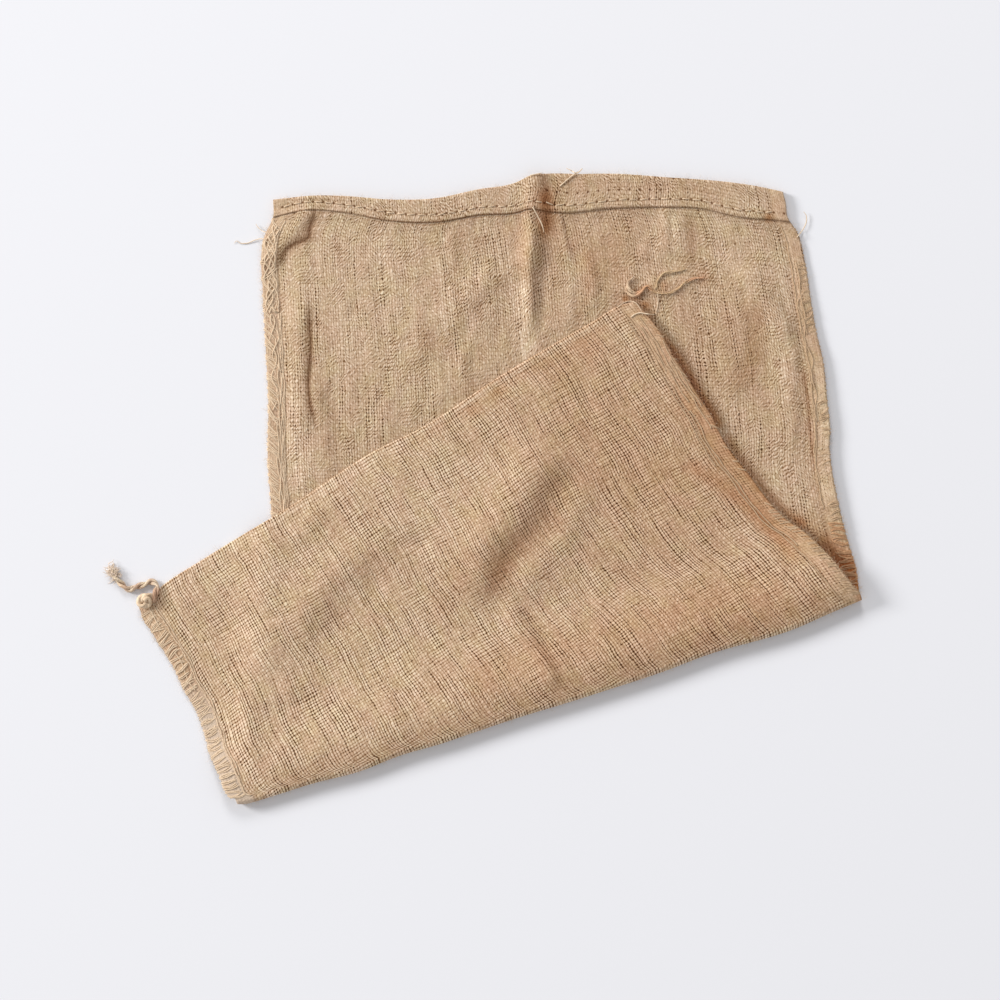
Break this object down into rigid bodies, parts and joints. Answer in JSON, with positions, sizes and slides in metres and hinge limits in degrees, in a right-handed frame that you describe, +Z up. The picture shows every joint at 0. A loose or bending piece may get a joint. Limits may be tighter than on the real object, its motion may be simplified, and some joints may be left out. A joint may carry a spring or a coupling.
{
  "type": "jute sack",
  "caption": "Flat empty hessian sack with a hemmed mouth and sewn sides, its closed end folded up over its front.",
  "frame": {"origin": "on the ground, under the middle of the lying sack's box, the loose twine ends left out", "axes": "+Z up from the ground; +Y from the folded end towards the hemmed mouth; +X to the right seen from above with the mouth away from the viewer"},
  "size_m": [0.6003, 0.5053, 0.011],
  "materials": {
    "hessian": "matte open plain weave of tan jute yarn",
    "jute_twine": "matte two-ply jute twine",
    "stained_jute_twine": "matte jute twine stained orange"
  },
  "bodies": {
    "root": {"sack": "hessian", "corner_twine": "jute_twine", "stained_twine": "stained_jute_twine", "stained_ply": "stained_jute_twine"}
  },
  "joints": []
}
